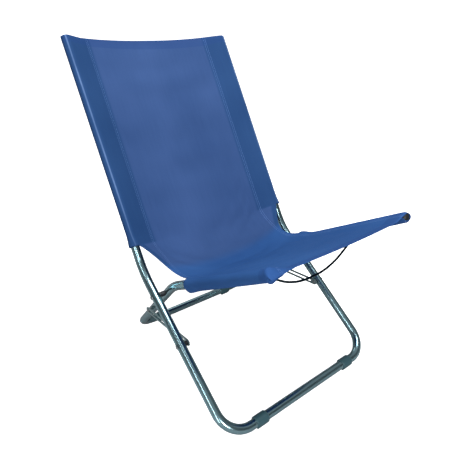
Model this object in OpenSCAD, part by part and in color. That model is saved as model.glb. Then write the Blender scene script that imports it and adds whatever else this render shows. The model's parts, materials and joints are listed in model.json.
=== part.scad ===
// Low folding beach chair: two bent steel tube frames that cross like scissors,
// slotted stays that stop them opening too far, and a cloth sling for the seat and back.
// Millimetres. +Z is up, the sitter looks along -Y, and +X is the sitter's left.
// The origin is on the floor, under the middle of the chair.

/* [Overall] */
// Outside width of the back frame
chair_w = 491; // [430:1:560]
// Side gap between the tubes of the two frames
frame_gap = 13.4; // [12.5:0.1:24]

/* [Tube] */
// Outside diameter of the frame tube
tube_d = 22; // [18:0.5:26]
// Wall of the frame tube
tube_wall = 1; // [0.8:0.1:2]
// Bend radius of the floor rail corners, to the tube's centre line
corner_r = 60; // [45:1:75]
// Bend radius where each frame turns from leg to back or seat
knee_r = 180; // [80:5:220]

/* [Back frame] */
// Front leg's lean back from upright, in degrees
front_leg_lean = 52.6; // [48:0.1:55]
// Front leg, from the floor rail to the knee
front_leg = 425; // [410:1:470]
// Back's lean back from upright, in degrees
back_lean = 29.2; // [24:0.1:34]
// Back upright, from the knee to its top end
back_run = 610; // [500:1:740]

/* [Seat frame] */
// Rear leg's rise above level, in degrees
rear_leg_rise = 45.9; // [43:0.1:50]
// Rear leg, from the floor rail to the knee
rear_leg = 343; // [335:1:400]
// Seat's rise to the front above level, in degrees
seat_rise = 27.7; // [22:0.1:32]
// Seat side tube, from the knee to its front end
seat_run = 374; // [345:1:450]

/* [Pivot] */
// Pivot's place on the front leg, up from the floor rail
pivot_up = 359; // [345:1:372]
// Diameter of the pivot bolt, the rivets and the studs
pin_d = 6; // [5:0.5:8]
// Clearance of a pin in the part that turns on it
pin_play = 0.05; // [0.02:0.01:0.1]
// Diameter of the bolt and rivet heads
head_d = 12; // [10:0.5:14]
// Height of the bolt and rivet heads
head_h = 3; // [2:0.1:4]
// Outside diameter of the bush between the two frames
bush_d = 13; // [11:0.5:16]
// Side play of the seat frame on the pivot bolt
side_play = 0.3; // [0.2:0.05:0.5]

/* [Stays] */
// Distance from the pivot to each stay's rivet and to its stud
stay_reach = 133; // [120:1:145]
// Width of the stay bar
stay_w = 17; // [15:0.5:20]
// Thickness of the stay bar
stay_t = 3; // [2:0.1:3.5]
// Clearance round the stud in its slot
slot_play = 0.3; // [0.2:0.05:0.5]
// Smallest angle left between the folded legs, in degrees
folded_angle = 6.7; // [6.5:0.1:12]

/* [Feet] */
// Length of each foot along its rail
foot_len = 34; // [24:1:44]
// Wall of the foot round the rail
foot_wall = 3; // [2:0.5:5]
// Width of the flat sole under the foot
sole_w = 16; // [12:0.5:20]
// Bevel round each end of the foot
foot_bevel = 2.4; // [1:0.1:3]
// Gap between each front foot and the bend of its rail
front_foot_gap = 10.5; // [1:0.5:40]
// Gap between each rear foot and the bend of its rail
rear_foot_gap = 2.1; // [1:0.1:40]

/* [End plugs] */
// Part of a seat tube's end plug that stands out of the tube
plug_out = 8; // [5:0.5:10]
// Part of a back tube's end plug that stands out of the tube
back_plug_out = 3; // [2:0.5:6]
// Part of an end plug inside the tube
plug_in = 18; // [12:1:30]

/* [Cloth] */
// Thickness of the sling cloth
cloth = 1.2; // [0.8:0.1:2]
// Gap between the tube and the sleeve sewn round it
sleeve_gap = 0.3; // [0.2:0.05:0.6]
// Bare tube above the back sleeves
top_bare = 3; // [2:0.5:10]
// Bare tube in front of the seat sleeves
front_bare = 4; // [2:0.5:10]
// Start of the back sleeves, up from the knee
back_sleeve_from = 69.5; // [60:0.5:110]
// Start of the seat sleeves, forward from the knee
seat_sleeve_from = 84; // [70:1:110]
// Sag of the back cloth at its middle
back_sag = 30; // [8:1:34]
// Sag of the seat cloth at its middle
seat_sag = 5; // [3:0.5:8]
// Gap between the lap cloth and the seat cloth
lap_gap = 0.5; // [0.3:0.1:1.5]

/* [Spreader bow] */
// Diameter of the spring steel bow under the seat
bow_d = 5; // [4:0.5:7]
// Distance of the bow behind the front ends of the seat tubes
bow_back = 94; // [60:1:120]
// Bow's lean forward from upright, in degrees
bow_lean = 5; // [0:1:28]
// Drop of the bow's middle below the seat tubes
bow_drop = 65; // [50:1:75]
// Half of the bow's width where it leaves the cloth
bow_half = 154; // [130:1:158]
// Half of the flat run at the bottom of the bow
bow_flat = 55; // [50:1:70]
// Drop of the bow's straight ends below the seat tubes
bow_end_drop = 5.2; // [4.8:0.1:6]

/* [Hidden] */
$fn = 64;

// Colours
steel = "#6f8f98";
dark = "#1d2226";
blue = "#2f5796";
bright = "#a9b4b8";

// Radii and side places
tube_r = tube_d / 2;
pin_r = pin_d / 2;
back_x = chair_w / 2 - tube_r;
seat_x = back_x - tube_d - frame_gap;
back_face = back_x - tube_r;
seat_face = seat_x + tube_r;
sleeve_in = tube_r + sleeve_gap;
sleeve_out = sleeve_in + cloth;
foot_r = tube_r + foot_wall;
front_foot_x = back_x - corner_r - front_foot_gap - foot_len / 2;
rear_foot_x = seat_x - corner_r - rear_foot_gap - foot_len / 2;
stay_x = (back_face + seat_face) / 2;

// Faces along X: the nut inside the seat frame, the washer and the rivet's small head by the stay
nut_face = seat_x - tube_r - side_play;
washer_face = stay_x + stay_t / 2 + side_play;
rivet_face = stay_x - stay_t / 2 - side_play;

// Small parts
nut_h = 7;
nut_flange = 1.2;
nut_wide = 11;
nut_dome = 2;
bolt_end = nut_face - nut_h + 1.5;
low_head_h = head_h * 0.8;
rivet_h = 1.6;
plug_rim = 1;

// Bends are a hair thicker than the straights, which run a little way into them
bend_swell = 0.12;
bend_lap = 0.5;
// Half length of a tube as cut out of what seats on it, and how far a hole's cutter runs past
seat_cut = 20;
past = 2;

// Side view: points are [forward, up], and the front rail's centre is at forward 0
rail_z = foot_r;
function along(angle) = [cos(angle), sin(angle)];
front_leg_dir = along(90 + front_leg_lean);
back_dir = along(90 + back_lean);
rear_leg_dir = along(rear_leg_rise);
seat_dir = along(seat_rise);
front_rail = [0, rail_z];
pivot = front_rail + pivot_up * front_leg_dir;
pivot_down_rear = (pivot[1] - rail_z) / sin(rear_leg_rise);
rear_rail = pivot - pivot_down_rear * rear_leg_dir;
back_knee = front_rail + front_leg * front_leg_dir;
seat_knee = rear_rail + rear_leg * rear_leg_dir;
back_top = back_knee + back_run * back_dir;
seat_tip = seat_knee + seat_run * seat_dir;

// Stays: equal reaches, so each stay turns exactly half as far as the seat frame
stay_pin = pivot - stay_reach * front_leg_dir;
stud_pin = pivot - stay_reach * rear_leg_dir;
leg_angle = 90 + front_leg_lean - rear_leg_rise;
stay_span = 2 * stay_reach * sin(leg_angle / 2);
slot_from = 2 * stay_reach * sin(folded_angle / 2);
slot_r = pin_r + slot_play;
stay_dir = (stud_pin - stay_pin) / norm(stud_pin - stay_pin);

// The origin is at the middle of the whole chair, from its front to its back
function dome_r(r, h) = (h * h + r * r) / (2 * h);
plug_r = dome_r(tube_r, plug_out - plug_rim);
plug_front = (seat_tip + (plug_out - plug_r) * seat_dir)[0] + plug_r;
plug_rear = (back_top + plug_rim * back_dir)[0] - tube_r * cos(back_lean);
cloth_rear = (back_top - top_bare * back_dir)[0] - (back_sag + cloth / 2) * cos(back_lean);
mid_forward = (max(plug_front, foot_r) + min(plug_rear, cloth_rear)) / 2;

// Spreader bow: where its ends sit in the seat tubes, and its own plane
bow_seat = seat_tip - bow_back * seat_dir;
bow_down = [sin(bow_lean), -cos(bow_lean)];
bow_end = bow_seat + bow_end_drop * bow_down;
bow_r = bow_d / 2;
bow_in = seat_x - tube_r + tube_wall + 8;
bow_bends = [24, 170, 170, 24];

// Puts a side-view point into the chair at side place x
function place(x, p) = [x, mid_forward - p[0], p[1]];
// Unit vector
function unit(v) = v / norm(v);
// Length of straight tube that a bend takes up on each side of its corner
function bend_take(a, b, r) = r * tan(acos(a * b) / 2);

// Straight round rod between two points
module rod(p, q, r) {
    d = q - p;
    translate(p) rotate([0, acos(d[2] / norm(d)), atan2(d[1], d[0])]) cylinder(h = norm(d), r = r);
}

// Bend of a round rod at corner c, from direction a to direction b
module elbow(c, a, b, bend, r) {
    inward = unit(b - a * (a * b));
    middle = c - a * bend_take(a, b, bend) + inward * bend;
    side = cross(-inward, a);
    multmatrix([
        [-inward[0], a[0], side[0], middle[0]],
        [-inward[1], a[1], side[1], middle[1]],
        [-inward[2], a[2], side[2], middle[2]],
        [0, 0, 0, 1]
    ]) rotate_extrude(angle = acos(a * b)) translate([bend, 0]) circle(r = r + bend_swell);
}

// Round rod through the points, with the given bend radius at each inner one
module bent_rod(points, bends, r) {
    n = len(points);
    dirs = [for (i = [0:n - 2]) unit(points[i + 1] - points[i])];
    takes = [for (i = [0:n - 1])
        i == 0 || i == n - 1 ? 0 : bend_take(dirs[i - 1], dirs[i], bends[i - 1]) - bend_lap];
    union() {
        for (i = [0:n - 2]) rod(points[i] + takes[i] * dirs[i], points[i + 1] - takes[i + 1] * dirs[i], r);
        for (i = [1:n - 2]) elbow(points[i], dirs[i - 1], dirs[i], bends[i - 1], r);
    }
}

// U-shaped frame: open end, knee, floor rail and back up the other side
module frame_rod(x, rail, knee, end, r, extra) {
    tip = end + extra * unit(end - knee);
    points = [
        place(-x, tip), place(-x, knee), place(-x, rail),
        place(x, rail), place(x, knee), place(x, tip)
    ];
    bent_rod(points, [knee_r, corner_r, corner_r, knee_r], r);
}

// Round pin along X from x_from to x_to at a side-view point, on side s
module cross_pin(s, x_from, x_to, p, r) {
    translate(place(s > 0 ? x_from : -x_to, p)) rotate([0, 90, 0]) cylinder(h = x_to - x_from, r = r);
}

// Low domed head on the X axis, from x_face outward (dir 1) or inward (dir -1)
module pin_head(s, x_face, dir, p, r, h) {
    translate(place(s * x_face, p)) rotate([0, s * dir * 90, 0]) rotate_extrude() intersection() {
        translate([0, h - dome_r(r, h)]) circle(r = dome_r(r, h), $fn = 96);
        square([r, h]);
    }
}

// Holes through both walls of the left and the right tube
module side_holes(x, p, r) {
    for (s = [-1, 1]) cross_pin(s, x - tube_r - past, x + tube_r + past, p, r);
}

// Solid tube through a point, to cut the seat of a small part that bears on the tube
module tube_seat(s, x, p, dir) {
    translate([s * x, 0, 0]) rod(place(0, p - seat_cut * dir), place(0, p + seat_cut * dir), tube_r);
}

module back_frame_tube() {
    color(steel) difference() {
        frame_rod(back_x, front_rail, back_knee, back_top, tube_r, 0);
        frame_rod(back_x, front_rail, back_knee, back_top, tube_r - tube_wall, 1);
        side_holes(back_x, pivot, pin_r);
        side_holes(back_x, stay_pin, pin_r);
    }
}

module seat_frame_tube() {
    color(steel) difference() {
        frame_rod(seat_x, rear_rail, seat_knee, seat_tip, tube_r, 0);
        frame_rod(seat_x, rear_rail, seat_knee, seat_tip, tube_r - tube_wall, 1);
        side_holes(seat_x, pivot, pin_r + pin_play);
        side_holes(seat_x, stud_pin, pin_r);
        for (s = [-1, 1]) cross_pin(s, seat_x - tube_r - past, seat_x, bow_end, bow_r);
    }
}

// Pivot: bolt head outside the back frame, bush between the frames, cap nut inside the seat frame
module pivot_bolt(s) {
    color(bright) union() {
        pin_head(s, back_x + tube_r, 1, pivot, head_d / 2, head_h);
        cross_pin(s, bolt_end, back_x + tube_r, pivot, pin_r);
    }
}

module pivot_bush(s) {
    color(dark) difference() {
        cross_pin(s, seat_face + side_play, back_x, pivot, bush_d / 2);
        cross_pin(s, seat_face - past, back_x + past, pivot, pin_r);
        tube_seat(s, back_x, pivot, front_leg_dir);
    }
}

module pivot_nut(s) {
    color(bright) difference() {
        union() {
            cross_pin(s, nut_face - nut_flange, nut_face, pivot, head_d / 2);
            translate(place(s > 0 ? nut_face - nut_h + nut_dome : -nut_face + nut_flange, pivot))
                rotate([0, 90, 0]) cylinder(h = nut_h - nut_dome - nut_flange, d = nut_wide, $fn = 6);
            pin_head(s, nut_face - nut_h + nut_dome, -1, pivot, nut_wide * 0.42, nut_dome);
        }
        cross_pin(s, bolt_end, nut_face + past, pivot, pin_r);
    }
}

// Slotted stay bar, drawn flat along +X from its rivet and laid between the two frames
module stay(s) {
    color(steel) multmatrix([
        [0, 0, 1, s * stay_x - stay_t / 2],
        [-stay_dir[0], -stay_dir[1], 0, mid_forward - stay_pin[0]],
        [stay_dir[1], -stay_dir[0], 0, stay_pin[1]],
        [0, 0, 0, 1]
    ]) linear_extrude(stay_t) difference() {
        slot_outline(0, stay_span, stay_w / 2);
        circle(r = pin_r + pin_play);
        slot_outline(slot_from, stay_span, slot_r);
    }
}

// Flat outline with round ends, from x_from to x_to along X
module slot_outline(x_from, x_to, r) {
    union() {
        translate([x_from, -r]) square([x_to - x_from, 2 * r]);
        for (x = [x_from, x_to]) translate([x, 0]) circle(r = r);
    }
}

// Rivet that carries the stay on the back frame
module stay_rivet(s) {
    color(bright) union() {
        pin_head(s, back_x + tube_r, 1, stay_pin, head_d / 2, low_head_h);
        cross_pin(s, rivet_face, back_x + tube_r, stay_pin, pin_r);
        pin_head(s, rivet_face, -1, stay_pin, head_d / 2 - 1, rivet_h);
    }
}

// Washer that holds the stay clear of the back frame's tube
module stay_washer(s) {
    color(dark) difference() {
        cross_pin(s, washer_face, back_x, stay_pin, head_d / 2);
        cross_pin(s, washer_face - past, back_x + past, stay_pin, pin_r);
        tube_seat(s, back_x, stay_pin, front_leg_dir);
    }
}

// Stud on the seat frame that runs in the stay's slot
module stay_stud(s) {
    color(bright) difference() {
        union() {
            pin_head(s, seat_x - tube_r, -1, stud_pin, head_d / 2, low_head_h);
            cross_pin(s, seat_x - tube_r, washer_face, stud_pin, pin_r);
            cross_pin(s, seat_x, rivet_face, stud_pin, head_d / 2 - 0.5);
            pin_head(s, washer_face, 1, stud_pin, head_d / 2 - 0.5, rivet_h);
        }
        difference() {
            tube_seat(s, seat_x, stud_pin, rear_leg_dir);
            cross_pin(s, seat_x - tube_r, seat_x + tube_r, stud_pin, pin_r);
        }
    }
}

// Moulded foot round a floor rail, with bevelled ends and a flat sole
module foot(x, rail) {
    b = foot_bevel;
    section = [
        [0, 0], [foot_r - b, 0], [foot_r, b],
        [foot_r, foot_len - b], [foot_r - b, foot_len], [0, foot_len]
    ];
    color(dark) difference() {
        translate(place(x - foot_len / 2, rail)) union() {
            rotate([0, 90, 0]) rotate_extrude() polygon(section);
            translate([b, -sole_w / 2, -rail_z]) cube([foot_len - 2 * b, sole_w, rail_z]);
        }
        translate(place(x - foot_len / 2 - past, rail))
            rotate([0, 90, 0]) cylinder(h = foot_len + 2 * past, r = tube_r);
    }
}

// Plug in a tube's open end, with a domed cap as wide as the tube
module end_plug(x, end, dir, out) {
    d = place(0, dir) - place(0, [0, 0]);
    dome = out - plug_rim;
    translate(place(x, end)) rotate([0, acos(d[2]), atan2(d[1], d[0])]) color(dark) rotate_extrude() union() {
        translate([0, -plug_in]) square([tube_r - tube_wall, plug_in]);
        square([tube_r, plug_rim]);
        translate([0, plug_rim]) intersection() {
            translate([0, dome - dome_r(tube_r, dome)]) circle(r = dome_r(tube_r, dome), $fn = 96);
            square([tube_r, dome]);
        }
    }
}

// Sewn sleeve round a tube, from one side-view point to another
module sleeve(x, from, to) {
    dir = unit(to - from);
    difference() {
        rod(place(x, from), place(x, to), sleeve_out);
        rod(place(x, from - dir), place(x, to + dir), sleeve_in);
    }
}

back_from = back_knee + back_sleeve_from * back_dir;
back_to = back_top - top_bare * back_dir;
module back_sleeve(s) {
    color(blue) sleeve(s * back_x, back_from, back_to);
}

// The bow passes through a small round opening in each seat sleeve
seat_from = seat_knee + seat_sleeve_from * seat_dir;
seat_to = seat_tip - front_bare * seat_dir;
module seat_sleeve(s) {
    color(blue) difference() {
        sleeve(s * seat_x, seat_from, seat_to);
        cross_pin(s, seat_x - sleeve_out - past, seat_x, bow_end, bow_r + sleeve_gap);
    }
}

// Sagging cloth between two side tubes at +-x, from one side-view point to another
module cloth_panel(x, from, to, sag) {
    r = (x * x + sag * sag) / (2 * sag);
    dir = unit(to - from);
    below = [dir[1], -dir[0]] * (dir[0] > 0 ? 1 : -1);
    difference() {
        multmatrix([
            [1, 0, 0, 0],
            [0, -below[0], -dir[0], mid_forward - from[0]],
            [0, below[1], dir[1], from[1]],
            [0, 0, 0, 1]
        ]) linear_extrude(norm(to - from)) intersection() {
            translate([0, sag - r]) difference() {
                circle(r = r + cloth / 2, $fn = 200);
                circle(r = r - cloth / 2, $fn = 200);
            }
            translate([-x, -2 * cloth]) square([2 * x, sag + 4 * cloth]);
        }
        for (s = [-1, 1]) rod(place(s * x, from - 5 * dir), place(s * x, to + 5 * dir), sleeve_out);
    }
}

module back_panel() {
    color(blue) cloth_panel(back_x, back_from, back_to, back_sag);
}

module seat_panel() {
    color(blue) cloth_panel(seat_x, seat_from, seat_to, seat_sag);
}

// Lap of the sling between back and seat: a smooth curve in side view, cut in at its free edges
lap_start = back_from;
lap_end = seat_from - lap_gap * seat_dir;
lap_reach = 0.47 * norm(lap_end - lap_start);
lap_steps = 16;
function curve(a, b, c, d, t) =
    pow(1 - t, 3) * a + 3 * t * pow(1 - t, 2) * b + 3 * t * t * (1 - t) * c + pow(t, 3) * d;
function lap_mid(t) =
    curve(lap_start, lap_start - lap_reach * back_dir, lap_end - lap_reach * seat_dir, lap_end, t);
function lap_slope(t) = unit(lap_mid(min(1, t + 0.01)) - lap_mid(max(0, t - 0.01)));
function lap_side(t, h) = lap_mid(t) + h * [-lap_slope(t)[1], lap_slope(t)[0]];
lap_back_x = back_x - sleeve_out - 1;
lap_seat_x = seat_x - sleeve_out - 1;
lap_waist = lap_seat_x - 5;
function lap_half(t) = curve(lap_back_x, (lap_back_x + lap_waist) / 2 - 5, lap_waist, lap_seat_x, t);

module lap_panel() {
    ts = [for (i = [0:lap_steps]) i / lap_steps];
    back = [for (i = [0:lap_steps]) 1 - i / lap_steps];
    color(blue) intersection() {
        translate([-back_x, 0, 0]) rotate([90, 0, 90]) linear_extrude(2 * back_x) polygon(concat(
            [for (t = ts) [mid_forward - lap_side(t, cloth / 2)[0], lap_side(t, cloth / 2)[1]]],
            [for (t = back) [mid_forward - lap_side(t, -cloth / 2)[0], lap_side(t, -cloth / 2)[1]]]));
        linear_extrude(back_top[1]) polygon(concat(
            [for (t = ts) [lap_half(t), mid_forward - lap_mid(t)[0] + (t - 0.5) * -2]],
            [for (t = back) [-lap_half(t), mid_forward - lap_mid(t)[0] + (t - 0.5) * -2]]));
    }
}

// Spring steel bow that keeps the seat tubes apart, hung below the cloth
module spreader_bow() {
    function at(x, drop) = place(x, bow_seat + drop * bow_down);
    e = bow_end_drop;
    color(dark) bent_rod(
        [at(-bow_in, e), at(-bow_half, e), at(-bow_flat, bow_drop),
         at(bow_flat, bow_drop), at(bow_half, e), at(bow_in, e)],
        bow_bends, bow_r);
}

back_frame_tube();
seat_frame_tube();
pivot_bolt(1);  // pivot_bolt_left
pivot_bolt(-1);  // pivot_bolt_right
pivot_bush(1);  // pivot_bush_left
pivot_bush(-1);  // pivot_bush_right
pivot_nut(1);  // pivot_nut_left
pivot_nut(-1);  // pivot_nut_right
stay(1);  // stay_left
stay(-1);  // stay_right
stay_rivet(1);  // stay_rivet_left
stay_rivet(-1);  // stay_rivet_right
stay_washer(1);  // stay_washer_left
stay_washer(-1);  // stay_washer_right
stay_stud(1);  // stay_stud_left
stay_stud(-1);  // stay_stud_right
foot(front_foot_x, front_rail);  // front_foot_left
foot(-front_foot_x, front_rail);  // front_foot_right
foot(rear_foot_x, rear_rail);  // rear_foot_left
foot(-rear_foot_x, rear_rail);  // rear_foot_right
end_plug(back_x, back_top, back_dir, back_plug_out);  // back_end_plug_left
end_plug(-back_x, back_top, back_dir, back_plug_out);  // back_end_plug_right
end_plug(seat_x, seat_tip, seat_dir, plug_out);  // seat_end_plug_left
end_plug(-seat_x, seat_tip, seat_dir, plug_out);  // seat_end_plug_right
back_panel();
back_sleeve(1);  // back_sleeve_left
back_sleeve(-1);  // back_sleeve_right
seat_panel();
seat_sleeve(1);  // seat_sleeve_left
seat_sleeve(-1);  // seat_sleeve_right
lap_panel();
spreader_bow();
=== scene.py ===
# %% [markdown]
# # Folding beach chair
#
# The chair is two bent steel tube frames that cross like scissors, two slotted stays, and one long
# cloth sling. The frames, stays, bolts, feet and plugs come from the packed CAD model and stay as
# they are. This script makes what CAD leaves plain: the sewn sling, and every finish.
#
# Everything is in metres, in the CAD model's frame: +Z is up, the sitter looks along -Y, and +X is
# the sitter's left. A side of the chair is written as 1 for the sitter's left and -1 for the right.

# %% Load the frame
import json
import math

import bpy
import numpy as np
from mathutils import Matrix, Vector


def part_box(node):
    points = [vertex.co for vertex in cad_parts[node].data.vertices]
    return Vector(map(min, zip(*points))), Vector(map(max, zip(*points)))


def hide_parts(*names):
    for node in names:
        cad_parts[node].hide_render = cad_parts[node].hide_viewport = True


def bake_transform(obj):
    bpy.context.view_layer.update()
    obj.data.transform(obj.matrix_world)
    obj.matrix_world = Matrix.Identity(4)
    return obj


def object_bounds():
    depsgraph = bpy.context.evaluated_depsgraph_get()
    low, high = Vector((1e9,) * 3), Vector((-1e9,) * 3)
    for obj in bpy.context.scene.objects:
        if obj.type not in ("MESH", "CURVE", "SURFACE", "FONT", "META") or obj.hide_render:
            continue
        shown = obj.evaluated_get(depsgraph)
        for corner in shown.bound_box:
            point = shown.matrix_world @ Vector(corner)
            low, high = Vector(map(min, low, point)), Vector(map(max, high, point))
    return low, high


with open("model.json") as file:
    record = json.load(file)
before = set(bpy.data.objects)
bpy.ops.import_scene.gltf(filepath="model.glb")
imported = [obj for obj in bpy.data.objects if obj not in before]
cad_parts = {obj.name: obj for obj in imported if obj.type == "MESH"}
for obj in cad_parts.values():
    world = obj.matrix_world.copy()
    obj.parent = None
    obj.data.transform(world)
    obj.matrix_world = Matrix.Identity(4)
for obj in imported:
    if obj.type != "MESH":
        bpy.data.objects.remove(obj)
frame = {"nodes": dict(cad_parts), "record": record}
CAD_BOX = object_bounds()
MM = 0.001
print("CAD box:", [round(c, 4) for corner in CAD_BOX for c in corner])

# %% [markdown]
# ## Camera
#
# The chair is looked at from its front right, a little above its seat. A camera can be aimed with a
# Track To constraint at a target, but a constraint can't give a small roll. Here the three axes of
# the camera are worked out from its turn, tilt and roll, and go straight into its matrix. Its place
# is measured from the front rail, which the two front feet are moulded round.

# %% Camera axes
CAMERA_FROM_RAIL = Vector((-0.6023, -0.5040, 0.7703))
CAMERA_TURN, CAMERA_TILT, CAMERA_ROLL = (math.radians(angle) for angle in (37.79, 24.09, -0.89))
CAMERA_LENS = 31.66


def camera_axes(turn, tilt, roll):
    """The camera's right, up and backward directions."""
    ahead = Vector((math.sin(turn) * math.cos(tilt), math.cos(turn) * math.cos(tilt), -math.sin(tilt)))
    level = Vector((math.cos(turn), -math.sin(turn), 0))
    upright = level.cross(ahead)
    right = math.cos(roll) * level + math.sin(roll) * upright
    return right, right.cross(ahead), -ahead


axes = Matrix(camera_axes(CAMERA_TURN, CAMERA_TILT, CAMERA_ROLL)).transposed()
print("camera looks along", [round(c, 3) for c in -axes.col[2]])

# %% Camera
rail_y = sum(corner.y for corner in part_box("front_foot_left")) / 2
camera = bpy.data.objects.new("camera", bpy.data.cameras.new("camera"))
bpy.context.collection.objects.link(camera)
camera.matrix_world = Matrix.Translation(Vector((0, rail_y, 0)) + CAMERA_FROM_RAIL) @ axes.to_4x4()
camera.data.lens = CAMERA_LENS
camera.data.clip_start = 10 * MM
bpy.context.scene.camera = camera
print("camera at", [round(c, 3) for c in camera.matrix_world.translation])

# %% [markdown]
# ## Where the sling hangs
#
# The sling is sewn round four straight tubes: the two back uprights and the two seat tubes. The CAD
# model holds a plain ring for each sleeve. A ring's two ends could be typed in as numbers, but then
# they would go wrong when the frame changes, so they are measured: the vertices of each end ring
# average to its centre. The chair is widest over its pivot bolts' heads, which stand on the tubes,
# and that gives the tube's radius.

# %% Measure the sleeves
END_RING = 4 * MM
BOLT_HEAD_HIGH = 3 * MM


def sleeve_ends(node):
    """Centres of the lower and the upper end of a straight round node."""
    points = np.array([v.co for v in frame["nodes"][node].data.vertices])
    middle = points.mean(0)
    direction = np.linalg.svd(points - middle, full_matrices=False)[2][0]
    direction *= np.sign(direction[2])
    for _ in range(3):
        along = (points - middle) @ direction
        low = np.unique(points[along < along.min() + END_RING].round(6), axis=0).mean(0)
        high = np.unique(points[along > along.max() - END_RING].round(6), axis=0).mean(0)
        direction = (high - low) / np.linalg.norm(high - low)
    return low, high


back_low, back_high = sleeve_ends("back_sleeve_left")
seat_rear, seat_front = sleeve_ends("seat_sleeve_left")
BACK_X, SEAT_X = float(back_low[0]), float(seat_rear[0])
TUBE_R = float(CAD_BOX[1].x - CAD_BOX[0].x) / 2 - BOLT_HEAD_HIGH - BACK_X
print("back sleeve from", back_low.round(4), "to", back_high.round(4))
print("seat sleeve from", seat_rear.round(4), "to", seat_front.round(4), "tube radius", round(TUBE_R, 4))


# %% Straight runs beside the tubes
class Run:
    """A straight stretch of the sling beside one pair of tubes, in side view (y, z)."""

    def __init__(self, start, end, sitter_side):
        self.start = start[1:]
        self.length = float(np.linalg.norm(end[1:] - start[1:]))
        self.along = (end[1:] - start[1:]) / self.length
        normal = np.array([-self.along[1], self.along[0]])
        self.normal = normal * np.sign(normal @ sitter_side)

    def at(self, distance, height=0.0):
        """Side-view point that far along the tube and that high above it, on the sitter's side."""
        beside = self.start + np.multiply.outer(distance, self.along)
        return beside + np.multiply.outer(height, self.normal)


back_run = Run(back_low, back_high, np.array([-1.0, 0.5]))
seat_run = Run(seat_rear, seat_front, np.array([0.0, 1.0]))
print("back sleeve length", round(back_run.length, 4), "seat sleeve length", round(seat_run.length, 4))

# %% [markdown]
# ## The sling's cross section
#
# Cut across a tube, the cloth is a teardrop: it comes over the tube, goes round it and back to a
# seam some way inside. It could be a solid ring joined to a flat sheet, but the seam pulls both
# layers straight, and that shape shades the band beside each tube darker; painted shade in the
# cloth's colour darkens the band further. So the section is drawn the way the cloth runs: a shallow
# sag between the seams, a straight line that touches the tube, an arc round the tube, and a straight
# line back under to the seam.
#
# Near the sleeves' ends the section changes. It opens at the lower end, where the cloth hangs loose,
# and it is pinched flat past the tube's end, where a tailor folds the sleeve shut.

# %% Sizes of the section
CLOTH = 0.9 * MM
WRAP_R = TUBE_R + CLOTH
SEAM_SHARE = 0.778
TOUCH_INSIDE = 5 * MM
UNDER_GAP = 1.3 * MM
CLOSE_INSIDE, CLOSE_LONG = 11 * MM, 9 * MM
ACROSS_PANEL, ACROSS_BAND, ROUND_TUBE, UNDER_BAND = 22, 9, 22, 8
panel_steps = np.concatenate([
    np.linspace(0, SEAM_SHARE, ACROSS_PANEL),
    np.linspace(SEAM_SHARE, 1, ACROSS_BAND + 1)[1:]])
print("points across half a panel", len(panel_steps), "wrap radius", round(WRAP_R / MM, 2), "mm")


# %% The way round the tube
def smooth(t):
    """0 to 1 with a gentle start and end."""
    t = np.clip(t, 0, 1)
    return t * t * (3 - 2 * t)


def touch_angles(side_x, seam, wrap_r):
    """Angles round the tube at which the cloth comes onto it from the seam, and leaves it again."""
    seam_x = SEAM_SHARE * (side_x - TOUCH_INSIDE)
    away = math.hypot(side_x - seam_x, seam)
    toward_seam = math.atan2(seam, seam_x - side_x) % (2 * math.pi)
    spread = math.acos(wrap_r / away)
    return toward_seam - spread, toward_seam + spread - 2 * math.pi


def round_the_tube(side_x, seam_x, seam, wrap_r, loose):
    """The wrap's points, round the tube and back under it to the seam. Loose cloth hangs lower."""
    turn = np.linspace(*touch_angles(side_x, seam, wrap_r), ROUND_TUBE)
    hang = wrap_r + loose * np.clip(-np.sin(turn), 0, 1) ** 2
    x, height = side_x + wrap_r * np.cos(turn), hang * np.sin(turn)
    back = np.linspace(0, 1, UNDER_BAND + 1)[1:]
    under_x = x[-1] + (seam_x - x[-1]) * back
    under_height = height[-1] + (seam - UNDER_GAP - height[-1]) * back
    return np.concatenate([x, under_x]), np.concatenate([height, under_height])


print("cloth is on the back's tubes from", [
    round(math.degrees(angle)) for angle in touch_angles(BACK_X, -12 * MM, WRAP_R)], "degrees")


# %% Half a cross section
class Cut:
    """Half a cross section: the panel out to the tube, and the wrap round it and back to the seam.

    middle and seam are the panel's heights, and flare widens the wrap. pinch is the share of its
    height that the sleeve keeps, closing at the height drop. closed lifts the wrap's way back to
    the seam up against the panel.
    """

    def __init__(self, side_x, middle, seam, loose=0.0, pinch=1.0, flare=0.0, closed=0.0, drop=0.0):
        self.side_x, self.wrap_r = side_x, WRAP_R + flare
        self.seam, self.pinch, self.drop = seam, pinch, drop
        angle = touch_angles(side_x, seam, self.wrap_r)[0]
        touch_x, touch_height = side_x + self.wrap_r * math.cos(angle), self.wrap_r * math.sin(angle)
        self.x = panel_steps * touch_x
        self.seam_x = SEAM_SHARE * touch_x
        inside = middle + (seam - middle) * (self.x / self.seam_x) ** 2
        band = seam + (touch_height - seam) * (self.x - self.seam_x) / (touch_x - self.seam_x)
        height = np.where(self.x <= self.seam_x, inside, band)
        self.wrap_x, wrap_height = round_the_tube(side_x, self.seam_x, seam, self.wrap_r, loose)
        above = np.interp(self.wrap_x, self.x, height) - UNDER_GAP
        lift = closed * smooth((side_x - CLOSE_INSIDE - self.wrap_x) / CLOSE_LONG) * (wrap_height < 0)
        wrap_height = wrap_height + (above - wrap_height) * lift
        self.height = self.pinched(self.x, height)
        self.wrap_height = self.pinched(self.wrap_x, wrap_height)

    def pinched(self, x, height):
        """Heights drawn together toward one line, outside the seam."""
        toward_tube = np.clip((x - self.seam_x) / (self.side_x + self.wrap_r - self.seam_x), 0, 1)
        line = self.seam * (1 - toward_tube) + self.drop * toward_tube
        return np.where(x > self.seam_x, line + (height - line) * self.pinch, height)


example = Cut(BACK_X, -30 * MM, -12 * MM)
print("band is", round((BACK_X + WRAP_R - SEAM_SHARE * example.x[-1]) / MM, 1), "mm wide")

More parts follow.
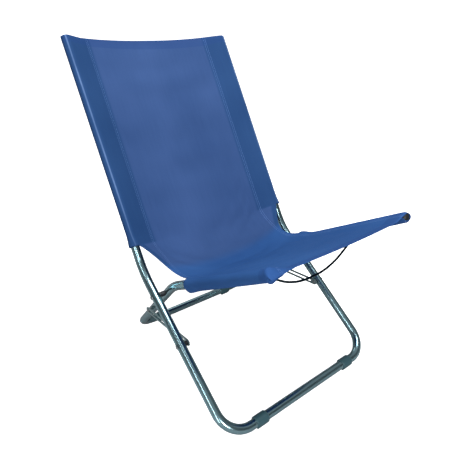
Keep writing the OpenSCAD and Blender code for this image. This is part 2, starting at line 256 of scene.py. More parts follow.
# %% [markdown]
# ## The back's rows
#
# One sheet runs from the top of the back, down, through the lap and out to the seat's front. It
# could be simulated from a flat sheet, but its outline is what gives this chair its look, and a
# simulation moves it. So rows are laid along the sheet by rule: sleeve rows beside the tubes, and
# lap rows between them. The back's rows sag between the tubes. The last few stand above the tubes,
# where the sleeve is pinched shut, and the hem was sewn a little skew, so it ends higher on one side.

# %% Sections of the back
TOP_SAG, LOW_SAG = 29 * MM, 28 * MM
BACK_SEAM, BACK_LOOSE = -12 * MM, 2 * MM
BACK_FLARE, BACK_FLARE_LONG = 3 * MM, 16 * MM
TOP_CLOSE, TOP_MIDDLE, TOP_END = 4 * MM, 12 * MM, {1: 12 * MM, -1: 6 * MM}
TOP_PINCH = 0.9


def at_top_hem(above, side):
    """0 where the sleeve starts to close, to 1 at the hem. above is measured from the sleeve's end."""
    return (above - TOP_CLOSE) / (TOP_END[side] - TOP_CLOSE)


def back_cut(distance, side=1):
    share = distance / back_run.length
    middle = -(LOW_SAG + (TOP_SAG - LOW_SAG) * share)
    pinch = 1 - TOP_PINCH * float(smooth(at_top_hem(distance - back_run.length, side)))
    flare = BACK_FLARE * math.exp(-(distance / BACK_FLARE_LONG) ** 2)
    return Cut(BACK_X, middle, BACK_SEAM, BACK_LOOSE, pinch, flare)


print("the back sags", [round(-back_cut(d).height[0] / MM, 1) for d in (0, back_run.length)], "mm")

# %% Rows of the back
ROWS_TOP, ROWS_BACK = 5, 64


def sleeve_row(run, cut, side, distance_at):
    """3-D points of one sleeve row, for the panel and for the wrap."""
    panel = np.column_stack([cut.x * side, run.at(distance_at(cut.x * side), cut.height)])
    wrap = np.column_stack([cut.wrap_x * side, run.at(distance_at(cut.wrap_x * side), cut.wrap_height)])
    return panel, wrap


def back_distance(x, above, side):
    """How far up the tubes a point at x lies. At the hem, the middle of the row stands higher."""
    rise = np.clip(at_top_hem(above, side), 0, 1) * (TOP_MIDDLE - TOP_END[side])
    return back_run.length + above + rise * (1 - np.clip(np.abs(x) / BACK_X, 0, 1))


def back_row(above, side):
    cut = back_cut(back_run.length + above, side)
    return sleeve_row(back_run, cut, side, lambda x: back_distance(x, above, side))


def back_rows(side):
    """Panels and wraps from the top hem down to the lower ends of the sleeves."""
    hem = np.linspace(TOP_END[side], TOP_CLOSE, ROWS_TOP)
    levels = np.concatenate([hem, np.linspace(TOP_CLOSE, -back_run.length, ROWS_BACK)[1:]])
    rows = [back_row(above, side) for above in levels]
    return [panel for panel, _ in rows], [wrap for _, wrap in rows]


print("rows down the back", len(back_rows(1)[0]))

# %% [markdown]
# ## The seat's rows
#
# The seat is tighter than the back. Its sleeves close toward the front: the lower layer comes up to
# the panel, and past the tube's end the cloth is drawn in over the plug's dome. On the sitter's
# right a flap of the sleeve reaches further and folds down over the plug. The narrow end could be
# scaled down by eye, but its height is taken from the dome that it covers.

# %% Where the plug ends
# The plug's box reaches a little past the dome's tip, because the tube is tilted.
TILTED_DOME = 1 * MM
PLUG_DOME_R = 12.1 * MM
DRAWN_IN = 9 * MM
OVER_PLUG_SLACK = {1: 0.0, -1: 2.5 * MM}
THINNEST = 0.06

plug_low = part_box("seat_end_plug_left")[0]
PLUG_TIP = float((plug_low.y - seat_run.at(seat_run.length)[0]) / seat_run.along[0]) - TILTED_DOME


def over_plug(distance, side):
    """The share of its height that the sleeve keeps as it is drawn in over the plug's dome."""
    past_middle = distance - seat_run.length - (PLUG_TIP - PLUG_DOME_R)
    if past_middle < PLUG_DOME_R - DRAWN_IN:
        return 1.0
    radius = PLUG_DOME_R + OVER_PLUG_SLACK[side]
    dome = math.sqrt(max(0.0, radius ** 2 - past_middle ** 2))
    return max(THINNEST, (dome + CLOTH) / WRAP_R)


print("plug's tip past the sleeve", round(PLUG_TIP / MM, 1), "mm")

# %% Sections of the seat
REAR_HEIGHT, FRONT_HEIGHT = -4 * MM, -4.5 * MM
REAR_SEAM, FRONT_SEAM = 2 * MM, -2 * MM
SEAT_LOOSE, SEAT_CLOSES_FROM = 6 * MM, 0.375
SEAT_FLARE, SEAT_FLARE_LONG = {1: 9 * MM, -1: 2.5 * MM}, 28 * MM
REAR_REACH = {1: 38 * MM, -1: 0.0}
CLOSE_DROP, CLOSE_DROP_LONG = {1: 0.0, -1: -7 * MM}, 8 * MM


def seat_cut(distance, side=1):
    share = float(np.clip(distance / seat_run.length, 0, 1))
    middle = (1 - share) * REAR_HEIGHT + share * FRONT_HEIGHT
    seam = (1 - share) * REAR_SEAM + share * FRONT_SEAM
    flare = SEAT_FLARE[side] * math.exp(-((distance + REAR_REACH[side]) / SEAT_FLARE_LONG) ** 2)
    closed = float(smooth((share - SEAT_CLOSES_FROM) / (1 - SEAT_CLOSES_FROM)))
    past_plug = distance - seat_run.length - PLUG_TIP - OVER_PLUG_SLACK[side]
    drop = CLOSE_DROP[side] * float(smooth(past_plug / CLOSE_DROP_LONG))
    return Cut(SEAT_X, middle, seam, SEAT_LOOSE * (1 - share), over_plug(distance, side), flare, closed, drop)


print("seat section is", round(2 * seat_cut(0).wrap_x.max(), 4), "m wide at the rear")

# %% Rows of the seat
FRONT_REACH, FRONT_SKEW = 13.7 * MM, -3.3 * MM
CORNER_REACH, CORNER_FROM, CORNER_WIDE = 7 * MM, 0.82, 0.16
ROWS_SEAT, ROWS_FRONT, FRONT_STARTS = 34, 14, 0.9


def front_reach(x):
    """How far the front hem runs past the sleeve's end: further on the right, most at its corner."""
    at_corner = smooth((-x / SEAT_X - CORNER_FROM) / CORNER_WIDE)
    return FRONT_REACH + FRONT_SKEW * x / SEAT_X + CORNER_REACH * at_corner


def seat_distance(x, share, side, edge_x):
    """How far along the seat tubes a point at x lies, in the row at that share of the seat."""
    behind = -REAR_REACH[side] * np.clip(np.abs(x) / edge_x, 0, 1) ** 2
    return share * (seat_run.length + front_reach(x)) + (1 - share) * behind


def seat_row(share, side):
    cut = seat_cut(seat_distance(side * SEAT_X, share, side, SEAT_X), side)
    return sleeve_row(seat_run, cut, side, lambda x: seat_distance(x, share, side, cut.x[-1]))


def seat_rows(side):
    """Panels and wraps from the rear ends of the sleeves out to the front hem, closer at the front."""
    front = np.linspace(FRONT_STARTS, 1, ROWS_FRONT)
    rows = [seat_row(share, side) for share in (*np.linspace(0, FRONT_STARTS, ROWS_SEAT), *front[1:])]
    return [panel for panel, _ in rows], [wrap for _, wrap in rows]


print("front hem reaches", [round(float(front_reach(x)) / MM, 1) for x in (-SEAT_X, 0, SEAT_X)], "mm")

# %% [markdown]
# ## The lap's rows
#
# Between the sleeves the cloth hangs free. Its middle and each free edge follow a Bezier curve that
# leaves the back and meets the seat in line with them, so no fold shows where the patches meet. An
# arc could join them too, but a Bezier's two handles set how round the lap hangs and how far its
# edges pull in to a waist.

# %% Curves of the lap
MIDDLE_HANDLES = (88 * MM, 96 * MM)
# Each edge handle: how far past the sleeve's end, how high above the tube, and how far outward.
EDGE_HANDLE_BACK = (37 * MM, 21 * MM, -28 * MM)
EDGE_HANDLE_SEAT = (91 * MM, -2 * MM, -11 * MM)
EDGE_LIFT = {1: 9 * MM, -1: 0.0}


def bezier(handles, t):
    a, b, c, d = handles
    return (1 - t) ** 3 * a + 3 * t * (1 - t) ** 2 * b + 3 * t * t * (1 - t) * c + t ** 3 * d


def lap_middle(t, back, seat):
    """The lap's middle line in side view (y, z), from 0 at the back to 1 at the seat."""
    return bezier([
        back_run.at(0, back.height[0]), back_run.at(-MIDDLE_HANDLES[0], back.height[0]),
        seat_run.at(-MIDDLE_HANDLES[1], seat.height[0]), seat_run.at(0, seat.height[0])], t)


def lap_edge(t, back, seat, side):
    """The lap's free edge as (x, y, z)."""
    behind = -REAR_REACH[side]
    past, high, out = EDGE_HANDLE_BACK
    leaves_back = (back.x[-1] + out, *back_run.at(-past, back.height[-1] + high))
    past, high, out = EDGE_HANDLE_SEAT
    meets_seat = (seat.x[-1] + out, *seat_run.at(behind - past, seat.height[-1] + high + EDGE_LIFT[side]))
    return bezier(np.array([
        (back.x[-1], *back_run.at(0, back.height[-1])), leaves_back,
        meets_seat, (seat.x[-1], *seat_run.at(behind, seat.height[-1]))]), t)


print("lap's lowest middle point", round(float(lap_middle(0.55, back_cut(0), seat_cut(0))[1]), 4), "m up")

# %% Rows of the lap
ROWS_LAP, LAP_CURVE, LAP_FADE = 44, 2.4, 0.3


def profile(cut):
    """A section's rise from its middle to its edge, as a share."""
    return (cut.height - cut.height[0]) / (cut.height[-1] - cut.height[0])


def lap_row(t, side):
    """3-D points of one lap row, from the middle to the free edge."""
    behind = -REAR_REACH[side]
    back, seat = back_cut(0), seat_cut(behind, side)
    middle, edge = lap_middle(t, back, seat), lap_edge(t, back, seat, side)
    free = panel_steps ** LAP_CURVE
    near_back, near_seat = smooth(1 - t / LAP_FADE), smooth(1 - (1 - t) / LAP_FADE)
    shape = free + (profile(back) - free) * near_back + (profile(seat) - free) * near_seat
    side_view = middle + np.outer(shape, edge[1:] - middle)
    side_view += float(smooth(t)) * behind * np.outer(panel_steps ** 2 - shape, seat_run.along)
    return np.column_stack([panel_steps * edge[0] * side, side_view])


def sling_rows(side):
    """All panel rows from top to front, and the wraps of the back and of the seat."""
    back, back_wrap = back_rows(side)
    lap = [lap_row(float(t), side) for t in np.linspace(0, 1, ROWS_LAP)[1:-1]]
    seat, seat_wrap = seat_rows(side)
    return np.array(back + lap + seat), np.array(back_wrap), np.array(seat_wrap)


rows_of_side = {side: sling_rows(side) for side in (1, -1)}
print("panel rows and points", rows_of_side[1][0].shape[:2], "back wrap", rows_of_side[1][1].shape[:2])

# %% [markdown]
# ## From rows to a mesh
#
# Rows of points make quads. Each patch of the sling is a grid, and where two patches meet they share
# the same points, so joining close vertices sews them together. Every vertex also keeps where it lies
# on the flat cloth, across and along, as a UV map. The weave and the stitches need that, because
# cloth is woven flat: a pattern placed by position in space would slide over the folds.

# %% Places on the flat cloth
def flat_across(rows):
    """Distance along each row from its first point."""
    steps = np.linalg.norm(np.diff(rows, axis=1), axis=2)
    return np.concatenate([np.zeros((len(rows), 1)), np.cumsum(steps, axis=1)], axis=1)


def flat_along(rows):
    """Distance of each row from the sling's top, measured down its middle."""
    steps = np.linalg.norm(np.diff(rows[:, 0], axis=0), axis=1)
    return np.concatenate([[0], np.cumsum(steps)])


print("sheet is", round(float(flat_along(rows_of_side[1][0])[-1]), 3), "m long down its middle")

# %% Hem of the free edge
HEM_WIDE, HEM_UNDER = 12 * MM, 1.2 * MM
# The hem's fold as (inward, share of the way under).
HEM_FOLD = (
    (0.0, 0.0), (-0.5 * MM, 0.35), (-0.3 * MM, 0.9), (1.5 * MM, 1.0), (0.5 * HEM_WIDE, 1.0), (HEM_WIDE, 0.8))


def lap_hem(rows):
    """The free edge, turned under: out to the fold and back inward below the cloth."""
    edge, inner = rows[:, -1], rows[:, -4]
    inward = (inner - edge) / np.linalg.norm(inner - edge, axis=1)[:, None]
    down = np.cross(inward, np.gradient(edge, axis=0))
    down /= np.linalg.norm(down, axis=1)[:, None]
    down *= -np.sign(down[:, 2:3])
    return np.stack([edge + inward * a + down * (HEM_UNDER * b) for a, b in HEM_FOLD], axis=1)


print("hem is", round(HEM_WIDE / MM), "mm wide, with", len(HEM_FOLD), "points round its fold")


# %% Patches of the sling
def sling_patches(panel, back_wrap, seat_wrap):
    """Grids of points, each with its places across and along and a two-layer mark, where shade is painted."""
    along, across = flat_along(panel), flat_across(panel)
    lap_first, lap_last = len(back_wrap) - 1, len(panel) - len(seat_wrap)
    # Marks two-layer cloth: the bands beside the tubes, and the lap's hem. The finish paints shade there.
    doubled_shade = np.tile(panel_steps >= SEAM_SHARE - 1e-6, (len(panel), 1)).astype(float)
    doubled_shade[lap_first + 1:lap_last] = panel_steps > 1 - HEM_WIDE / BACK_X
    patches = [(panel, across, along, doubled_shade)]
    hem = lap_hem(panel[lap_first:lap_last + 1])
    for part, first in ((back_wrap, 0), (hem, lap_first), (seat_wrap, lap_last)):
        beside = slice(first, first + len(part))
        places = across[beside, -1:] + flat_across(part)
        patches.append((part, places, along[beside], np.ones(part.shape[:2])))
    return patches


patches_of_side = {side: sling_patches(*rows) for side, rows in rows_of_side.items()}
print("patches", [patch[0].shape[:2] for patch in patches_of_side[1]])


# %% Join the patches
def mesh_from_patches(name, patches_of_side):
    vertices, faces, uvs, layers = [], [], [], []
    for side, patches in patches_of_side.items():
        for points, across, along, doubled_shade in patches:
            rows, columns = points.shape[:2]
            base = len(vertices)
            vertices.extend(map(tuple, points.reshape(-1, 3)))
            layers.extend(doubled_shade.reshape(-1))
            along_grid = np.repeat(along[:, None], columns, 1)
            flat = np.stack([across * side, along_grid], axis=2).reshape(-1, 2)
            for first in (r * columns + c for r in range(rows - 1) for c in range(columns - 1)):
                corners = [first, first + columns, first + columns + 1, first + 1][::side]
                faces.append([base + i for i in corners])
                uvs.extend(flat[i] for i in corners)
    mesh = bpy.data.meshes.new(name)
    mesh.from_pydata(vertices, [], faces)
    mesh.uv_layers.new(name="flat_cloth").data.foreach_set("uv", np.array(uvs).reshape(-1))
    # The two-layer mark, which the cloth's finish turns into painted shade.
    mesh.attributes.new("doubled_shade", "FLOAT", "POINT").data.foreach_set("value", np.array(layers, np.float32))
    mesh.polygons.foreach_set("use_smooth", [True] * len(mesh.polygons))
    made = bpy.data.objects.new(name, mesh)
    bpy.context.collection.objects.link(made)
    return made


def use_modifier(piece, kind, **settings):
    """Adds a modifier and applies it to the mesh."""
    modifier = piece.modifiers.new(kind.lower(), kind)
    for key, value in settings.items():
        setattr(modifier, key, value)
    bpy.context.view_layer.objects.active = piece
    with bpy.context.temp_override(object=piece, active_object=piece, selected_objects=[piece]):
        bpy.ops.object.modifier_apply(modifier=modifier.name)


sling = mesh_from_patches("sling", patches_of_side)
use_modifier(sling, "WELD", merge_threshold=0.1 * MM)
flat_uv = np.array([tuple(d.uv) for d in sling.data.uv_layers[0].data])

# %% [markdown]
# ## Wrinkles
#
# Sewn polyester on a frame is nearly flat, with long shallow waves where it is pulled: across the top
# of the back, and fanning out from the lower ends of the sleeves. They could be painted as bump, but
# bump doesn't change the outline or the way light rolls over a wave, so the vertices themselves move
# a little along their normals. Cloth that lies on a tube stays where it is.

# %% Wrinkle the sling
# Each patch of waves: its middle across and along, its reach, and the waves' length, turn and height.
WAVES = (
    (0.00, 0.05, 0.16, 0.075, 88, 1.0), (0.06, 0.22, 0.22, 0.11, 80, 0.9),
    (-0.05, 0.42, 0.2, 0.09, 95, 0.8), (0.19, 0.50, 0.06, 0.024, 25, 1.6),
    (-0.19, 0.52, 0.06, 0.028, -30, 1.3), (0.14, 0.60, 0.09, 0.04, 50, 1.1),
    (-0.13, 0.62, 0.09, 0.045, -55, 1.1), (0.0, 0.70, 0.13, 0.05, 86, 0.9),
    (0.1, 0.86, 0.12, 0.06, 70, 0.6), (-0.1, 0.88, 0.12, 0.07, -75, 0.6))
SEAM_X = SEAM_SHARE * SEAT_X
LEAST_FREE = 0.2


def wave_height(flat):
    """Height of the waves at each place on the flat cloth."""
    height = np.zeros(len(flat))
    for across, along, reach, wave, turn, high in WAVES:
        a, b = flat[:, 0] - across, flat[:, 1] - along
        direction = a * math.cos(math.radians(turn)) + b * math.sin(math.radians(turn))
        height += high * MM * np.cos(2 * math.pi * direction / wave) * np.exp(-(a * a + b * b) / reach ** 2)
    return height


def wrinkle(piece):
    mesh = piece.data
    flat = np.zeros((len(mesh.vertices), 2))
    for loop, uv in zip(mesh.loops, mesh.uv_layers[0].data):
        flat[loop.vertex_index] = uv.uv
    places = np.array([v.co for v in mesh.vertices])
    normals = np.array([v.normal for v in mesh.vertices])
    height = wave_height(flat)
    between_seams = smooth((SEAM_X + 12 * MM - np.abs(places[:, 0])) / (25 * MM))
    free = between_seams * (1 - LEAST_FREE) + LEAST_FREE
    on_tube = smooth((np.abs(flat[:, 0]) - SEAM_X) / (30 * MM))
    moved = places + normals * (height * free * (1 - on_tube))[:, None]
    mesh.vertices.foreach_set("co", moved.reshape(-1))
    mesh.update()
    return height


waves = wrinkle(sling)
use_modifier(sling, "SUBSURF", levels=1, render_levels=1)
use_modifier(sling, "SOLIDIFY", thickness=CLOTH, offset=0.0, use_even_offset=True)
print("wrinkles from", round(waves.min() / MM, 1), "to", round(waves.max() / MM, 1), "mm")
print("sling has", len(sling.data.polygons), "faces")

# %% [markdown]
# ## Finishes
#
# A finish is a small network of nodes. Written node by node it is long and hard to read, so one class
# wraps a socket and lets ordinary sums on it add Math nodes. Any other node comes from its `node`
# method. What is the same all over a surface is set straight on the shader.

# %% Sums with sockets
class Wire:
    """An output socket of a material's node tree, for use in sums, or the tree alone to start from."""

    def __init__(self, tree, socket=None):
        self.tree, self.socket = tree, socket

    def node(self, kind, settings=(), inputs=(), out=0):
        """Adds a node of that type and gives the Wire of one of its outputs."""
        made = self.tree.nodes.new(kind)
        for name, value in dict(settings).items():
            setattr(made, name, value)
        for name, value in dict(inputs).items():
            if isinstance(value, Wire):
                self.tree.links.new(value.socket, made.inputs[name])
            else:
                made.inputs[name].default_value = value
        return Wire(self.tree, made.outputs[out])

    def math(self, operation, *others):
        return self.node("ShaderNodeMath", {"operation": operation}, dict(enumerate((self, *others))))

    def __add__(self, other):
        return self.math("ADD", other)

    def __sub__(self, other):
        return self.math("SUBTRACT", other)

    def __rsub__(self, other):
        return self.node("ShaderNodeMath", {"operation": "SUBTRACT"}, {0: other, 1: self})

    def __mul__(self, other):
        return self.math("MULTIPLY", other)

    def __truediv__(self, other):
        return self.math("DIVIDE", other)

    __radd__, __rmul__ = __add__, __mul__


print("sums on a socket:", [name for name in vars(Wire) if name.startswith("__r")])


# %% Colours and materials
def rgb(*parts):
    """An sRGB colour from 0 to 255 as the linear colour that Blender works in."""
    shares = [part / 255 for part in parts]
    return (*(c / 12.92 if c <= 0.04045 else ((c + 0.055) / 1.055) ** 2.4 for c in shares), 1.0)


def mix(factor, first, second):
    """One colour turning into another as factor goes from 0 to 1."""
    return factor.node("ShaderNodeMix", {"data_type": "RGBA"}, {0: factor, 6: first, 7: second}, out=2)


def new_finish(name, **constants):
    """A material with its shader, and a Wire to start its network from."""
    material = bpy.data.materials.new(name)
    material.use_nodes = True
    shader = material.node_tree.nodes["Principled BSDF"]
    for key, value in constants.items():
        shader.inputs[key.replace("_", " ")].default_value = value
    return material, shader, Wire(material.node_tree)


def feed(shader, **wires):
    for key, wire in wires.items():
        wire.tree.links.new(wire.socket, shader.inputs[key.replace("_", " ")])


print("sRGB 128 is linear", round(rgb(128, 128, 128)[0], 3))


# %% Noise, limits and bump
def noise(place, scale, detail, roughness=0.5, dimensions="3D"):
    inputs = {"Vector": place, "Scale": scale, "Detail": detail, "Roughness": roughness}
    return place.node("ShaderNodeTexNoise", {"noise_dimensions": dimensions}, inputs)


def clamp(value):
    return value.node("ShaderNodeClamp", {}, {0: value})


def bump(height, strength, distance):
    return height.node("ShaderNodeBump", {}, {"Height": height, "Strength": strength, "Distance": distance})


print("noise, clamp and bump each take a Wire and give a Wire")

# %% [markdown]
# ## Sling cloth
#
# The sling is a close plain weave of blue polyester, coated on the back. A weave could be an image,
# but two crossed waves over the flat cloth's own coordinates give the same over and under, at the
# real thread spacing. Where the sling's mesh marks two layers, beside and round the tubes, the colour
# is turned darker, and so it is at the hems at both ends: that is painted shade. Past the lap's crease
# the seat gets a brighter, bluer copy of the blue: painted light, for how light falls on the seat.
# Lines of stitches run down both seams. Along the ridge that each tube presses out runs a painted
# highlight, a pale line.

# %% Threads and stitches
THREAD = 1.1 * MM
STITCH, STITCH_SHARE, STITCH_HALF_WIDE = 4.0 * MM, 0.68, 0.45 * MM
seam_across = SEAM_SHARE * float(example.x[-1])
STITCH_LINES = (seam_across + 2 * MM, seam_across + 7 * MM)


def flat_places(start):
    """The flat cloth's coordinates: both together, the distance from the middle, and from the top."""
    flat = start.node("ShaderNodeUVMap", {"uv_map": "flat_cloth"})
    across = flat.node("ShaderNodeSeparateXYZ", {}, {0: flat}).math("ABSOLUTE")
    return flat, across, flat.node("ShaderNodeSeparateXYZ", {}, {0: flat}, out=1)


def plain_weave(across, along):
    """Threads that pass over and under, from -1 to 1."""
    turn = math.pi / THREAD
    return (across * turn).math("SINE") * (along * turn).math("SINE")


def stitched_line(across, along, where):
    """1 on a line of stitches at that distance across the cloth."""
    near = across.math("COMPARE", where, STITCH_HALF_WIDE)
    return near * (along / STITCH).math("FRACT").math("LESS_THAN", STITCH_SHARE)


print("threads per centimetre", round(10 * MM / THREAD, 1))
print("stitch lines at", [round(line, 3) for line in STITCH_LINES], "m from the middle")

# %% The cloth's blues, with painted light and shade
CREASE, CREASE_SOFT = 0.665, 25 * MM
HEM_DEEP = 26 * MM
SHEET_LONG = float(flat_uv[:, 1].max()) - CORNER_REACH
SINGLE_BLUES = rgb(41, 66, 110), rgb(58, 83, 130)
# Painted shade: where two layers lie, beside and round the tubes, the blues are darker.
DOUBLE_SHADE_BLUES = rgb(29, 58, 100), rgb(42, 73, 118)
# Painted light: past the lap's crease the seat gets a brighter, bluer copy of the cloth's blue, for how light
# falls on it.
SEAT_LIT_BLUES = rgb(35, 71, 124), rgb(50, 88, 143)
# Painted shade: the end hems turn part way toward this darker blue, for the shade of their folds.
HEM_SHADE_BLUE = rgb(34, 62, 116)


def blue_with_painted_shading(start, tone, along):
    """The cloth's blue, with painted shade on two-layer cloth and at the end hems, and painted light on the
    seat.
    """
    doubled_shade = start.node("ShaderNodeAttribute", {"attribute_name": "doubled_shade"}, out=2)
    seat_shading = along.node(
        "ShaderNodeMapRange", {"interpolation_type": "SMOOTHSTEP"},
        {0: along, 1: CREASE - CREASE_SOFT, 2: CREASE + CREASE_SOFT, 3: 0.0, 4: 1.0})
    hem_shade = along.math("LESS_THAN", HEM_DEEP) + along.math("GREATER_THAN", SHEET_LONG - HEM_DEEP)
    # Painted shade: two-layer cloth turns toward the darker blues.
    blue = mix(doubled_shade, mix(tone, *SINGLE_BLUES), mix(tone, *DOUBLE_SHADE_BLUES))
    # Painted light: past the crease the seat turns to its own copy of the blue.
    blue = mix(seat_shading, blue, mix(tone, *SEAT_LIT_BLUES))
    # Painted shade: both end hems are turned darker.
    return mix(hem_shade * 0.35, blue, HEM_SHADE_BLUE)


print("front hem is", round(SHEET_LONG, 3), "m from the top")


# %% The painted highlight on the ridge
RIDGE_HALF_WIDE = 2.6 * MM
RIDGE_PAST_TOUCH = 8.5 * MM
panel_across = float(np.hypot(np.diff(example.x), np.diff(example.height)).sum())
ridge_across = panel_across + RIDGE_PAST_TOUCH


def painted_ridge_highlight(across, patchy):
    """1 on the line that the tube presses out, where a highlight is painted, fading to each side and along
    it.
    """
    away = (across - ridge_across).math("ABSOLUTE") / RIDGE_HALF_WIDE
    return clamp(1 - away) * patchy


print("rubbed ridge", round(ridge_across, 4), "m from the middle")

# %% Sling cloth
# The second colour is a painted highlight: the cloth's gloss along each tube's ridge.
THREAD_PALE, PAINTED_HIGHLIGHT_PALE = rgb(96, 128, 186), rgb(126, 156, 204)
STREAK_SCALE = (160.0, 14.0, 1.0)


def sling_cloth():
    material, shader, start = new_finish("sling_cloth", Specular_IOR_Level=0.06)
    flat, across, along = flat_places(start)
    weave = plain_weave(across, along)
    broad = noise(flat, 5.0, 2.0, dimensions="2D")
    stretched = flat.node("ShaderNodeVectorMath", {"operation": "MULTIPLY"}, {0: flat, 1: STREAK_SCALE})
    streaks = noise(stretched, 1.0, 3.0, dimensions="2D")
    stitches = stitched_line(across, along, STITCH_LINES[0]) + stitched_line(across, along, STITCH_LINES[1])
    tone = 0.5 + (broad - 0.5) + (streaks - 0.5) * 0.25 + weave * 0.05
    cloth = mix(stitches * 0.7, blue_with_painted_shading(start, tone, along), THREAD_PALE)
    # Painted highlight: a pale line along the ridge that each tube presses out.
    cloth = mix(painted_ridge_highlight(across, streaks + broad * 2 - 0.8) * 0.5, cloth, PAINTED_HIGHLIGHT_PALE)
    roughness = 0.75 + (streaks - 0.5) * 0.12 + weave * 0.04
    height = weave * 0.35 + streaks * 0.4 + stitches * 1.2
    feed(shader, Base_Color=cloth, Roughness=roughness, Normal=bump(height, 0.5, 0.35 * MM))
    return material


cloth_finish = sling_cloth()
sling.data.materials.append(cloth_finish)
print("sling cloth has", len(cloth_finish.node_tree.nodes), "nodes")

# %% [markdown]
# ## Lacquered tube and bare steel
#
# The tubes are drawn steel under a thin glossy grey-green lacquer. A plain metal would show every
# reflection as sharp as a mirror, but a drawn tube has fine marks along it and the lacquer has slight
# waves, so noise spreads the roughness and tilts the surface a little. Object coordinates serve here,
# because the tubes don't deform. The stays, bolts and bow are the same steel with other coats.

# %% Metal finishes
def metal(name, colour, worn_colour, roughness, wear, grain):
    """A metal with cloudy wear and fine grain."""
    material, shader, start = new_finish(name, Metallic=1.0)
    place = start.node("ShaderNodeTexCoord", out=3)
    clouds = noise(place, 38.0, 5.0, 0.62)
    fine = noise(place, grain, 3.0)
    scuffed = clamp((clouds - 0.56) * 6.0 * wear)
    feed(
        shader, Base_Color=mix(scuffed, colour, worn_colour),
        Roughness=roughness + scuffed * 0.18 + (fine - 0.5) * 0.08,
        Normal=bump(fine * 0.15 + clouds * 0.5, 0.06, 0.25 * MM))
    return material


tube_finish = metal("tube_lacquer", rgb(138, 170, 178), rgb(112, 142, 150), 0.20, 0.35, 900.0)
stay_finish = metal("stay_steel", rgb(142, 166, 170), rgb(112, 134, 138), 0.30, 0.6, 700.0)
zinc_finish = metal("zinc_plate", rgb(150, 158, 162), rgb(104, 110, 112), 0.32, 0.8, 800.0)
bow_finish = metal("bow_lacquer", rgb(30, 48, 56), rgb(44, 60, 66), 0.34, 0.5, 600.0)
print("metal finishes", [m.name for m in (tube_finish, stay_finish, zinc_finish, bow_finish)])

# %% [markdown]
# ## Moulded plastic
#
# The feet and end plugs are moulded polypropylene: dull, with a fine spark-eroded grain, scuffed
# paler where they meet the ground. The scuffs could be drawn on each foot, but height above the
# floor picks them out on every foot alike.

# %% Plastic finishes
SCUFF_HIGH = 6 * MM


def plastic(name, colour, scuff_colour, roughness):
    """A moulded plastic, scuffed in blotches close to the floor."""
    material, shader, start = new_finish(name, Specular_IOR_Level=0.4)
    place = start.node("ShaderNodeTexCoord", out=3)
    level = place.node("ShaderNodeSeparateXYZ", {}, {0: place}, out=2)
    low = level.node("ShaderNodeMapRange", {}, {0: level, 1: 0.0, 2: SCUFF_HIGH, 3: 1.0, 4: 0.0})
    grain, blotches = noise(place, 1400.0, 2.0), noise(place, 120.0, 4.0)
    scuff = low * blotches
    feed(
        shader, Base_Color=mix(scuff, colour, scuff_colour),
        Roughness=roughness + (grain - 0.5) * 0.2 + scuff * 0.2,
        Normal=bump(grain + blotches * 0.5, 0.25, 0.2 * MM))
    return material


foot_finish = plastic("foot_plastic", rgb(52, 84, 92), rgb(104, 122, 124), 0.42)
plug_finish = plastic("plug_plastic", rgb(16, 20, 26), rgb(40, 44, 48), 0.45)
print("plastic finishes", foot_finish.name, plug_finish.name)

# %% Put each finish on its CAD nodes
FINISH_OF_SLOT = {
    "frame_steel": tube_finish, "stay_steel": stay_finish, "zinc_steel": zinc_finish,
    "foot_plastic": foot_finish, "black_plastic": plug_finish, "bow_steel": bow_finish,
    "sling_cloth": cloth_finish}
for part in frame["record"]["subparts"]:
    node = frame["nodes"][part["node"]]
    node.data.materials.clear()
    node.data.materials.append(FINISH_OF_SLOT[part["material_slot"]])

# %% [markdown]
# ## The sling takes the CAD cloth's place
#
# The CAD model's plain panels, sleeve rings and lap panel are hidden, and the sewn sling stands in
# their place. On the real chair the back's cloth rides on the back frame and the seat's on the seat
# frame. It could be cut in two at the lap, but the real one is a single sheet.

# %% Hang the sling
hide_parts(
    "back_panel", "back_sleeve_left", "back_sleeve_right",
    "seat_panel", "seat_sleeve_left", "seat_sleeve_right", "lap_panel")
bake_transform(sling)

# %% [markdown]
# ## Floor
#
# A pale floor whose rim curves up into a wall, as a studio's paper sweep does. Polished tube
# mirrors all of it, and in an all-white room a tube has no dark edges. A studio hangs dark cloths
# just outside the view for that. Here the floor's paint does it: it is white where the camera sees
# it, and grey where the chair does.

# %% Shape of the floor
FLAT_RADIUS, CURVE_RADIUS, WALL_HIGH = 3.2, 2.0, 5.0
CURVE_RINGS, FLOOR_SIDES = 24, 96


def studio_sweep():
    """A round floor with a curved rim and a wall."""
    bend = [(FLAT_RADIUS + CURVE_RADIUS * math.sin(a), CURVE_RADIUS * (1 - math.cos(a)))
            for a in np.linspace(0, math.pi / 2, CURVE_RINGS)]
    profile_points = [(FLAT_RADIUS / 2, 0.0)] + bend + [(FLAT_RADIUS + CURVE_RADIUS, WALL_HIGH)]
    turns = np.linspace(0, 2 * math.pi, FLOOR_SIDES, endpoint=False)
    vertices = [(0.0, 0.0, 0.0)]
    vertices += [(r * math.cos(a), r * math.sin(a), level) for r, level in profile_points for a in turns]
    faces = []
    for k in range(FLOOR_SIDES):
        n = (k + 1) % FLOOR_SIDES
        faces.append((0, 1 + k, 1 + n))
        for base in range(1, 1 + FLOOR_SIDES * (len(profile_points) - 1), FLOOR_SIDES):
            faces.append((base + k, base + FLOOR_SIDES + k, base + FLOOR_SIDES + n, base + n))
    mesh = bpy.data.meshes.new("floor")
    mesh.from_pydata(vertices, [], faces)
    mesh.polygons.foreach_set("use_smooth", [True] * len(mesh.polygons))
    return bpy.data.objects.new("floor", mesh)


floor = studio_sweep()
bpy.context.collection.objects.link(floor)
print("floor has", len(floor.data.polygons), "faces")

# %% Paint of the floor
FLOOR_GLOW, FLOOR_GREY = 1.0, 0.45


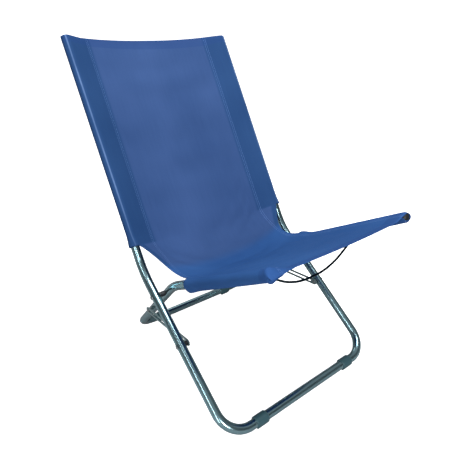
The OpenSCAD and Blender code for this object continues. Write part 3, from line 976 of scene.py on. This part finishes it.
def floor_paint():
    """White and faintly glowing to the camera, and plain grey to everything else."""
    material, shader, start = new_finish(
        "floor", Base_Color=(0.9, 0.9, 0.9, 1), Roughness=0.9,
        Emission_Color=(1, 1, 1, 1), Emission_Strength=FLOOR_GLOW)
    camera_ray = start.node("ShaderNodeLightPath")
    grey = start.node("ShaderNodeBsdfDiffuse", {}, {"Color": (FLOOR_GREY, FLOOR_GREY, FLOOR_GREY, 1)})
    white = Wire(start.tree, shader.outputs[0])
    paint = start.node("ShaderNodeMixShader", {}, {0: camera_ray, 1: grey, 2: white})
    start.tree.links.new(paint.socket, start.tree.nodes["Material Output"].inputs[0])
    return material


floor.data.materials.append(floor_paint())
print("floor paint", floor.data.materials[0].name)

# %% [markdown]
# ## Light
#
# Soft boxes, as in a studio. One box in front lights the back of the sling, and a wide one
# overhead lights the seat. A tall narrow strip on the chair's right gives the tubes their bright
# line, and a weak box behind lifts the rear.

# %% Light
def soft_box(name, place, target, size, power):
    light = bpy.data.objects.new(name, bpy.data.lights.new(name, "AREA"))
    light.data.shape, light.data.size, light.data.size_y = "RECTANGLE", size[0], size[1]
    light.data.energy = power
    light.location = place
    light.rotation_euler = (Vector(target) - Vector(place)).to_track_quat("-Z", "Y").to_euler()
    bpy.context.collection.objects.link(light)


soft_box("key", (-1.2, -2.6, 1.3), (0, 0, 0.4), (0.45, 0.9), 44)
soft_box("strip", (-2.4, -1.4, 1.2), (0, 0, 0.3), (0.2, 2.4), 21)
soft_box("rim", (0.5, 2.2, 2.4), (0, 0, 0.4), (2.0, 0.8), 10)
soft_box("top", (0.0, -0.6, 3.0), (0, -0.1, 0.4), (1.2, 1.2), 80)

world = bpy.data.worlds.new("studio")
world.use_nodes = True
world.node_tree.nodes["Background"].inputs["Color"].default_value = (0.95, 0.97, 1.0, 1)
world.node_tree.nodes["Background"].inputs["Strength"].default_value = 0.35
bpy.context.scene.world = world
bpy.context.scene.view_settings.view_transform = "Standard"

# %% [markdown]
# ## Sizes
#
# The sling stands up to 13 mm past the CAD model's box, at its front hem.
